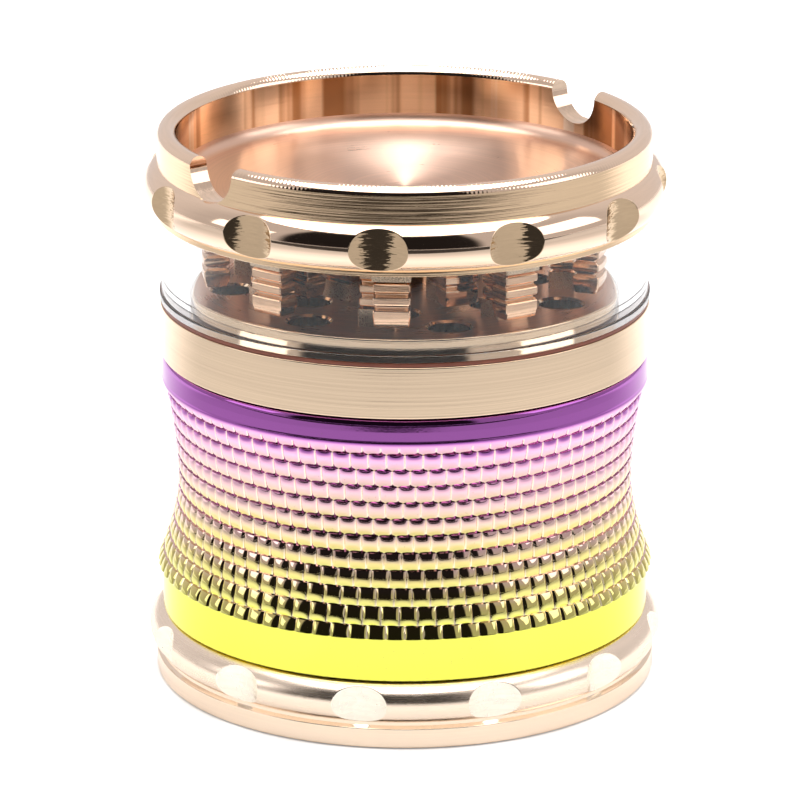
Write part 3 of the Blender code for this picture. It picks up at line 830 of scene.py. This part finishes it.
def make_storage_body():
    fine, coarse = KNURL_CELLS * CELL_COLUMNS, KNURL_CELLS * CELL_COLUMNS // 4
    lower_band, lower_edge = 29.75, 0.1
    seal_seat, seat_depth = 28.6, 1.05
    bore, ledge_bore, ledge_bottom, ledge_top = 25.4, 23.5, 12.8, 13.9
    thread_floor = 36.2
    undercut = MALE_CREST + THREAD_CLEARANCE
    plain, knurled, inside = "gradient_coat", "gradient_coat_knurled", "coat_bore"
    skin = Skin(coarse)
    end_top, band_bottom, knurl_end = 29.15, (29.50, 37.0), (lower_band, KNURL_BOTTOM - 0.12)
    band = [(end_top, STORAGE.top)] + arc(end_top, STORAGE.top - 0.9, 0.32, 0.9, 90, 12, 5)
    band += [(29.50, 38.9), (29.53, 37.8), (29.57, 37.62), (29.59, 37.5), (29.58, 37.35), (29.54, 37.15)]
    skin.lathe(band + [band_bottom], plain, fine)
    azimuth = azimuths(fine)[None, :]
    first, last = add_knurl(skin, azimuth, knurled, plain)
    skin.quads(np.stack([polar(band_bottom[0], azimuth, band_bottom[1])[0], first]), plain)
    skin.quads(np.stack([last, polar(knurl_end[0], azimuth, knurl_end[1])[0]]), plain)
    bottom = BASE_SHOULDER + 0.06
    skin.lathe([knurl_end] + corner(lower_band, bottom, lower_edge, 0, 3), plain, fine)
    skin.thin_out(lower_band - lower_edge, seal_seat, bottom, fine, False, plain)
    seat = STORAGE.bottom + seat_depth
    skin.lathe([(seal_seat, bottom), (seal_seat, seat), (undercut, seat)], inside)
    add_thread(skin, seat, ledge_bottom - 0.2, True, inside)
    chamber = [(undercut, ledge_bottom - 0.2), (undercut, ledge_bottom), (ledge_bore, ledge_bottom)]
    chamber += [(ledge_bore, ledge_top), (bore, ledge_top), (bore, 20.0), (bore, 30.0), (bore, thread_floor)]
    chamber += [(undercut, thread_floor), (undercut, thread_floor + 0.2)]
    skin.lathe(chamber, inside)
    seat = STORAGE.top - seat_depth
    add_thread(skin, thread_floor + 0.2, seat, True, inside)
    skin.lathe([(undercut, seat), (seal_seat, seat), (seal_seat, STORAGE.top)], inside)
    skin.thin_out(end_top, seal_seat, STORAGE.top, fine, True, plain)
    mesh = skin.mesh("storage_body_knurled")
    exact_normals(mesh, (knurled,), knurl_normals)
    place("storage_body_knurled", mesh, "storage", "storage_body")


def make_screen():
    """Woven wire: two sets of wires that pass over and under each other."""
    pitch, wire, sides = 1.2, 0.17, 6
    middle = (SCREEN.bottom + SCREEN.top) / 2
    reach = SCREEN.radius - 0.3
    skin = Skin()
    count = int(reach / pitch)
    turn = np.linspace(0, 2 * math.pi, sides + 1)
    for turned in (False, True):
        for i in range(-count, count + 1):
            half = math.sqrt(reach**2 - (i * pitch) ** 2)
            steps = max(int(2 * half / (pitch / 2)), 2)
            along = np.linspace(-half, half, steps + 1)
            sign = (-1) ** i * (1 if turned else -1)
            wave = sign * wire / 2 * np.cos(math.pi * along / pitch)
            ends = np.ones(len(along))
            ends[[0, -1]] = 0.0
            across = i * pitch + np.outer(ends, np.cos(turn)) * wire / 2
            height = middle + wave[:, None] + np.outer(ends, np.sin(turn)) * wire / 2
            run = np.broadcast_to(along[:, None], across.shape)
            parts = (across, run, height) if turned else (run, across, height)
            points = np.stack(parts, axis=-1)
            skin.quads(points if turned else points[:, ::-1], "screen_steel")
    mesh = skin.mesh("screen_mesh_woven")
    place("screen_mesh_woven", mesh, "storage", "screen_mesh")


def rounded_ring(inner, outer, bottom, top, edge):
    """Closed profile of a ring with rounded edges, from its inner top edge round the outside."""
    profile = corner(inner, top, edge, 180) + corner(outer, top, edge, 90)
    profile += corner(outer, bottom, edge, 0) + corner(inner, bottom, edge, -90)
    return profile + profile[:1]


def make_ring_piece(name, profile, material, body, node):
    skin = Skin()
    skin.lathe(profile, material)
    place(name, skin.mesh(name), body, node)


def make_rings():
    """Seals, gasket, glide ring and the ring that holds the screen."""
    seals = ("catcher_seal", CATCHER_SEAL, BASE_SHOULDER), ("chamber_seal", CHAMBER_SEAL, CHAMBER_SEAL.bottom - 0.3)
    for node, seal, bottom in seals:
        half_width, rise = 0.45, 0.6
        profile = arc(seal.radius - 0.35, bottom + rise + 0.02, half_width, rise, 180, -180, 24)
        make_ring_piece(node + "_moulded", profile, "seal_rubber", node, node)
    gasket = rounded_ring(26.3, 29.5, 46.82, WINDOW_SEAT - 0.02, 0.12)
    make_ring_piece("window_gasket_cut", gasket, "gasket_rubber", "chamber", "window_gasket")
    glide = rounded_ring(27.0, GLIDE.radius, GLIDE.bottom - 0.25, GLIDE.top + 0.25, 0.15)
    make_ring_piece("glide_ring_moulded", glide, "glide_nylon", "glide_ring", "glide_ring")
    holder = rounded_ring(23.7, SCREEN_RING.radius, SCREEN_RING.bottom - 0.1, SCREEN_RING.top, 0.25)
    make_ring_piece("screen_ring_turned", holder, "coat_bore", "storage", "screen_ring")


# ---- grinding section


def hole_cutter(bottom, top, material):
    """All sieve holes as one mesh of separate cutters, widened at the top by a chamfer."""
    skin = Skin()
    reach = 1.0
    profile = [(0.0, top + reach), (HOLE_RADIUS + HOLE_CHAMFER + reach, top + reach)]
    profile += [(HOLE_RADIUS, top - HOLE_CHAMFER), (HOLE_RADIUS, bottom - reach), (0.0, bottom - reach)]
    profile = np.array(profile)
    for circle, first in HOLE_CIRCLES:
        for i in range(HOLES_PER_CIRCLE):
            azimuth = math.radians(first + 360.0 * i / HOLES_PER_CIRCLE)
            middle = np.array([circle * math.sin(azimuth), -circle * math.cos(azimuth), 0.0])
            skin.quads(polar(profile[:, :1], azimuths(HOLE_SIDES)[None, :], profile[:, 1:]) + middle, material)
    return skin.mesh("hole_cutter")


def cut(mesh, cutter_mesh):
    """The mesh with another taken out of it."""
    target, cutter = add_object("cut_target", mesh), add_object("cut_tool", cutter_mesh)
    boolean = target.modifiers.new("cut", "BOOLEAN")
    boolean.operation = "DIFFERENCE"
    boolean.solver = "EXACT"
    boolean.object = cutter
    boolean.material_mode = "TRANSFER"
    done = bpy.data.meshes.new_from_object(target.evaluated_get(bpy.context.evaluated_depsgraph_get()))
    for obj in (target, cutter):
        bpy.data.objects.remove(obj)
    return smoothed(done)


def make_grinding_plate():
    floor_top, underside, bore = CHAMBER_FLOOR, 46.7, 25.4
    band_top, band_bottom, band_edge = 46.8, 40.58, 0.12
    boss_radius, boss_edge = 25.7, 0.2
    post_radius, pocket_radius, pocket_floor = 4.5, 3.6, PLATE_MAGNET.bottom - 0.02
    thread_bottom, thread_top = PLATE.bottom + 0.3, band_bottom - 0.5
    boss = "champagne_boss"
    skin = Skin()
    post = [(0.0, pocket_floor), (pocket_radius, pocket_floor), (pocket_radius, PLATE.top - 0.1)]
    post += [(pocket_radius + 0.1, PLATE.top), (post_radius - 0.2, PLATE.top), (post_radius, PLATE.top - 0.2)]
    post += [(post_radius, floor_top)]
    skin.lathe(post, boss)
    # The chamber floor's material carries painted shade.
    skin.lathe([(post_radius, floor_top), (boss_radius - boss_edge, floor_top)], "champagne_floor_painted_shade")
    wall = corner(boss_radius, floor_top, boss_edge, 90, 4)
    wall += [(boss_radius, 48.0), (boss_radius, band_top)]
    skin.lathe(wall, boss)
    outside = [(boss_radius, band_top)] + corner(PLATE.radius, band_top, band_edge, 90, 4)
    outside += [(PLATE.radius, 43.5)] + corner(PLATE.radius, band_bottom, band_edge, 0, 4)
    outside += [(MALE_ROOT, band_bottom), (MALE_ROOT, thread_top)]
    skin.lathe(outside, "champagne_band")
    add_thread(skin, thread_bottom, thread_top, False, "rose_thread")
    inside = [(MALE_ROOT, thread_bottom), (MALE_ROOT - 0.3, PLATE.bottom), (bore, PLATE.bottom)]
    inside += [(bore, 41.0), (bore, underside - 1.0)]
    inside += arc(bore - 1.0, underside - 1.0, 1.0, 1.0, 0, 90, 6)[1:]
    inside += [(0.0, underside)]
    skin.lathe(inside, "rose_underside")
    mesh = cut(skin.mesh("grinding_plate_body"), hole_cutter(underside, floor_top, boss))
    mesh.name = "grinding_plate_turned"
    place("grinding_plate_turned", mesh, "chamber", "grinding_plate")


def make_window():
    flange, flange_top, edge = 29.65, 48.2, 0.12
    inner, outer = 26.0, 29.4
    profile = corner(inner, WINDOW.top, edge, 180, 4) + corner(outer, WINDOW.top, edge, 90, 4)
    profile += [(outer, 53.0), (outer, flange_top)]
    profile += corner(flange, flange_top, edge, 90, 3) + corner(flange, WINDOW_SEAT, edge, 0, 3)
    profile += corner(inner, WINDOW_SEAT, edge, -90, 4) + [(inner, 53.0)]
    profile += profile[:1]
    make_ring_piece("window_ring_clear", profile, "clear_acrylic", "chamber", "window_ring")


def make_magnets():
    edge = 0.25
    for node, disc, body in (("plate_magnet", PLATE_MAGNET, "chamber"), ("lid_magnet", LID_MAGNET, "lid")):
        profile = [(0.0, disc.top), (1.5, disc.top)] + corner(disc.radius, disc.top, edge, 90)
        profile += corner(disc.radius, disc.bottom, edge, 0) + [(1.5, disc.bottom), (0.0, disc.bottom)]
        make_ring_piece(node + "_plated", profile, "magnet_nickel", body, node)


# ---- teeth


def tooth_profile():
    """Half-depth along the radius, half-width across it and height of each ring of a tooth, from root to tip."""
    ridges, pitch, flank, edge = 3, 1.6, 0.4, 0.05
    crest, width, groove, groove_width = 1.4, 2.1, 0.95, 1.9
    collar, collar_width, collar_height, embed = 1.6, 2.2, 1.8, 0.35
    rings = [(collar, collar_width, -embed), (collar, collar_width, collar_height - edge)]
    rings += [(collar - edge, collar_width - edge, collar_height)]
    for ridge in range(ridges):
        near = collar_height + pitch * ridge
        far = near + pitch
        rings += [(groove, groove_width, near + edge), (crest - edge, width - edge / 2, near + flank - edge)]
        rings += [(crest, width, near + flank + edge), (crest, width, far - flank - edge)]
        if ridge < ridges - 1:
            rings += [(crest - edge, width - edge / 2, far - flank + edge), (groove, groove_width, far - edge)]
    tip = collar_height + pitch * ridges + 0.8
    rings += [(crest - edge, width - edge, tip - 0.8), (crest - 0.25, width - 0.15, tip - edge)]
    return rings + [(crest - 0.4, width - 0.3, tip)]


def tooth_ring(circle, half_depth, half_width):
    """Outline of a tooth seen along Z, with faces that run round the axis and flat sides."""
    across, deep = 10, 6
    inset = 0.12
    outer_y = np.linspace(half_width - inset, -half_width + inset, across + 1)
    outer = [(math.sqrt((circle + half_depth) ** 2 - y * y), y) for y in outer_y]
    inner = [(math.sqrt((circle - half_depth) ** 2 - y * y), y) for y in outer_y[::-1]]
    near = np.linspace(outer[-1][0] - inset, inner[0][0] + inset, deep + 1)
    far = np.linspace(inner[-1][0] + inset, outer[0][0] - inset, deep + 1)
    ring = outer + [(x, -half_width) for x in near] + inner + [(x, half_width) for x in far]
    return np.array(ring + ring[:1])


def tooth_mesh(name, circle, root, direction):
    """A tooth at azimuth 0, from its root up (direction 1) or down (-1)."""
    grid = []
    for half_depth, half_width, height in tooth_profile():
        ring = tooth_ring(circle, half_depth, half_width)
        z = np.full(len(ring), root + direction * height)
        grid.append(np.stack([ring[:, 1], -ring[:, 0], z], axis=1))
    grid = np.array(grid)
    collar_rings = 3
    milled = "rose_tooth"
    parts = [(grid[:collar_rings], "rose_collar"), (grid[collar_rings - 1 :], milled)]
    if direction > 0:
        grid = grid[::-1]
        parts = [(part[::-1], material) for part, material in reversed(parts)]
    skin = Skin()
    for part, material in parts:
        skin.quads(part[:, ::-1], material)
    for ring, flip in ((grid[0], False), (grid[-1], True)):
        ids = skin.add(ring[:-1])
        skin.face(ids if flip else ids[::-1], milled)
    return skin.mesh(name, 25.0)


def make_teeth(groups, root, direction, body):
    for group, count, circle, first in groups:
        mesh = tooth_mesh(group, circle, root, direction)
        for i in range(count):
            node = f"{group}_{i + 1:02d}"
            place(node + "_milled", mesh, body, node, first + 360.0 * i / count)


# ---- lid


def rest_cutter():
    """A round bar across the rim, which leaves the two rests."""
    radius, height, azimuth, sides = 3.9, 67.6, -50.0, 96
    mesh = bpy.data.meshes.new("rest_cutter")
    bm = bmesh.new()
    along = Matrix.Rotation(math.radians(azimuth - 90.0), 4, "Z") @ Matrix.Rotation(math.pi / 2, 4, "Y")
    bmesh.ops.create_cone(
        bm,
        cap_ends=True,
        segments=sides,
        radius1=radius * MM,
        radius2=radius * MM,
        depth=80.0 * MM,
        matrix=Matrix.Translation((0.0, 0.0, height * MM)) @ along,
    )
    bm.to_mesh(mesh)
    bm.free()
    mesh.materials.append(MATERIALS["rose_rest"])
    return mesh


def make_lid():
    dish_radius, dish_floor, dish_rise, fillet = 27.3, 60.4, 0.6, 1.5
    rim_radius, crown_radius, crown_reach = 29.76, 1.28, 72.5
    lip_radius, lip_inner, seat = 30.0, 29.75, 59.05
    lip_bottom, lip_edge = 57.85, 0.1
    plug, underside = 25.6, LID_UNDERSIDE
    boss, pocket, pocket_top = 4.5, 3.6, LID_MAGNET.top + 0.02
    start = LID_GRIP.scoop_start - 180.0 / SCOOPS
    rim, grip, scoop = "rose_rim", "rose_polished", "lid_scoop"
    skin = Skin(start=start)
    floor_edge = dish_radius - fillet
    floor = [(r, dish_floor + dish_rise * (r / floor_edge) ** 3) for r in np.linspace(0.0, floor_edge, 25)[:-1]]
    floor += arc(floor_edge, dish_floor + dish_rise + fillet, fillet, fillet, -86, 0, 12)
    skin.lathe(floor, "rose_dish")
    crown_middle = (dish_radius + rim_radius) / 2
    crown_height = LID.top - crown_radius
    crest = arc(crown_middle, crown_height, crown_radius, crown_radius, 90 + crown_reach, 90 - crown_reach, 24)
    skin.lathe([floor[-1], (dish_radius, 65.0), crest[0]], "rose_wall")
    skin.lathe(crest, "rose_crown")
    neck = grip_arc(LID_GRIP, 63.8, LID_GRIP.high, 3)
    skin.lathe([crest[-1], (rim_radius, 65.5), neck[0]], rim)
    skin.lathe(neck, grip)
    add_grip(skin, LID_GRIP, grip, scoop)
    lip = grip_arc(LID_GRIP, LID_GRIP.low, LID_GRIP.low, 0) + [(lip_radius, 58.45), (lip_radius, lip_bottom + lip_edge)]
    lip += [(lip_radius - lip_edge, lip_bottom), (lip_inner, lip_bottom), (lip_inner, seat)]
    skin.lathe(lip, rim)
    below = [(lip_inner, seat), (plug, seat), (plug, underside + 0.3), (plug - 0.3, underside)]
    below += [(20.0, underside), (10.0, underside), (boss, underside), (boss, LID_MAGNET.bottom + 0.2)]
    below += [(boss - 0.2, LID_MAGNET.bottom), (pocket, LID_MAGNET.bottom), (pocket, pocket_top), (0.0, pocket_top)]
    skin.lathe(below, "rose_underside")
    mesh = cut(skin.mesh("lid_body"), rest_cutter())
    exact_normals(mesh, (grip, scoop), grip_normals(LID_GRIP))
    mesh.name = "lid_turned"
    place("lid_turned", mesh, "lid", "lid")


# ---- studio


def make_disc(name, height, rings):
    """Flat round stage piece, with the material of its name, from rings of points (m)."""
    skin = Skin(96)
    skin.lathe([(r / MM, height) for r in rings], name)
    return add_object(name, skin.mesh(name))


def make_floor():
    """A wide pale table top."""
    graph = Graph("studio_floor")
    white = graph.mix(graph.noise(graph.spot(), 2.0, 3.0), (0.93, 0.93, 0.93), (0.95, 0.95, 0.95))
    glow = {"Emission Color": white, "Emission Strength": 0.3}
    graph.principled({"Base Color": white, "Roughness": 0.9, "Specular IOR Level": 0.2, **glow})
    floor = make_disc("studio_floor", 0.0, (0.0, 0.1, 0.3, 1.0, 3.0))
    floor.location.z = -0.0001


# How pale the reflected table is, by its distance from the object's axis as a share of TABLE_REACH (m): painted shade,
# standing in for the light falling off away from the object.
# It is at its palest again well behind the object, between the distances in TABLE_BACK.
TABLE_REACH = 0.25
TABLE_LEVELS = ((0.15, 1.0), (0.28, 1.0), (0.40, 0.82), (0.56, 0.58), (0.70, 0.50), (0.9, 0.45), (1.0, 0.5))
TABLE_BACK = (0.03, 0.14)


def make_reflected_table():
    """The table as reflections see it, with painted shade: it fades away from the object as the light falls off, and
    past a front edge it is painted black for the unlit room in front.
    """
    edge_distance, edge_slope, edge_blur = 0.213, 0.1, 0.0015
    graph = Graph("reflected_table_painted_shade")
    x, y, _ = graph.split(graph.spot())
    forward = graph.math("SUBTRACT", graph.math("MULTIPLY", x, -edge_slope), y)
    share = graph.fit(graph.length(x, y), 0.0, TABLE_REACH)
    fade = graph.ramp(share, [(at, (level, level, level)) for at, level in TABLE_LEVELS])
    fade = graph.mix(graph.fit(y, *TABLE_BACK, smooth=True), fade, (1.0, 1.0, 1.0))
    lit = graph.fit(forward, edge_distance - edge_blur, edge_distance + edge_blur, 1.0, 0.0, smooth=True)
    # Painted shade: near black in front of the edge, and the fade by distance behind it.
    graph.principled({"Base Color": graph.mix(lit, (0.012, 0.011, 0.011), fade), "Roughness": 0.9})
    table = make_disc("reflected_table_painted_shade", -0.05, (0.0, 0.1, 0.3, 1.6))
    table.visible_camera = table.visible_diffuse = table.visible_shadow = False


def direction(azimuth, elevation):
    a, e = math.radians(azimuth), math.radians(elevation)
    return Vector((math.sin(a) * math.cos(e), -math.cos(a) * math.cos(e), math.sin(e)))


def softbox(name, azimuth, elevation, distance, width, height, radiance):
    """An area light (m) that faces the object, round if it has no height; radiance is how bright its face looks."""
    light = bpy.data.lights.new(name, "AREA")
    light.size = width
    if height:
        light.shape = "RECTANGLE"
        light.size_y = height
        area = width * height
    else:
        light.shape = "DISK"
        area = math.pi * width**2 / 4
    light.energy = radiance * math.pi * area
    lamp = add_object(name, light)
    towards = direction(azimuth, elevation)
    lamp.location = towards * distance
    lamp.rotation_euler = towards.to_track_quat("Z", "Y").to_euler()


def make_world():
    """Pale surroundings with a dark opening in front of the object."""
    world = bpy.data.worlds.new("studio")
    bpy.context.scene.world = world
    graph = Graph("studio", world)
    x, y, z = graph.split(graph.add("TexCoord").outputs["Generated"])
    azimuth = graph.math("ARCTAN2", x, graph.math("MULTIPLY", y, -1.0))
    left = graph.fit(azimuth, math.radians(-58), math.radians(-52), smooth=True)
    right = graph.fit(azimuth, math.radians(30), math.radians(36), 1.0, 0.0, smooth=True)
    low = graph.fit(z, math.sin(math.radians(52)), math.sin(math.radians(60)), 1.0, 0.0, smooth=True)
    dark = graph.math("MULTIPLY", graph.math("MULTIPLY", left, right), low)
    behind = graph.fit(y, 0.1, 0.6, smooth=True)
    pale = graph.mix(behind, (0.56, 0.53, 0.53), (0.74, 0.70, 0.70))
    colour = graph.mix(dark, pale, (0.015, 0.013, 0.013))
    below = graph.fit(z, -0.03, -0.01, 1.0, 0.0)
    colour = graph.mix(below, colour, (1.2, 1.2, 1.2))
    shade = graph.add("Background", {"Color": colour, "Strength": 1.0})
    graph.add("OutputWorld", {"Surface": shade.outputs[0]})


def make_lights():
    softbox("softbox_top", 0.0, 90.0, 1.2, 1.5, None, 3.0)
    softbox("softbox_right", 78.0, 30.0, 1.4, 0.8, 0.7, 1.5)
    softbox("softbox_left", -77.0, 22.0, 1.4, 0.7, 0.5, 1.4)
    softbox("softbox_back", 180.5, 50.0, 1.4, 0.07, 0.5, 18.0)


def make_camera():
    camera = bpy.data.cameras.new("camera")
    camera.sensor_width = 36.0
    camera.lens = 226.9
    camera.shift_x = -0.0124
    holder = add_object("camera", camera)
    target = Vector((0.0, 0.0, 0.0341))
    holder.location = Vector((0.0, -0.5778, 0.2191))
    holder.rotation_euler = (holder.location - target).to_track_quat("Z", "Y").to_euler()
    bpy.context.scene.camera = holder


make_camera()
make_world()
make_lights()
make_floor()
make_reflected_table()
bpy.context.scene.view_settings.view_transform = "Standard"

make_catcher_cup()
make_storage_body()
make_screen()
make_rings()
make_grinding_plate()
make_window()
make_magnets()
make_teeth(FLOOR_TEETH, CHAMBER_FLOOR + TOOTH_GAP, 1, "chamber")
make_lid()
make_teeth(LID_TEETH, LID_UNDERSIDE - TOOTH_GAP, -1, "lid")
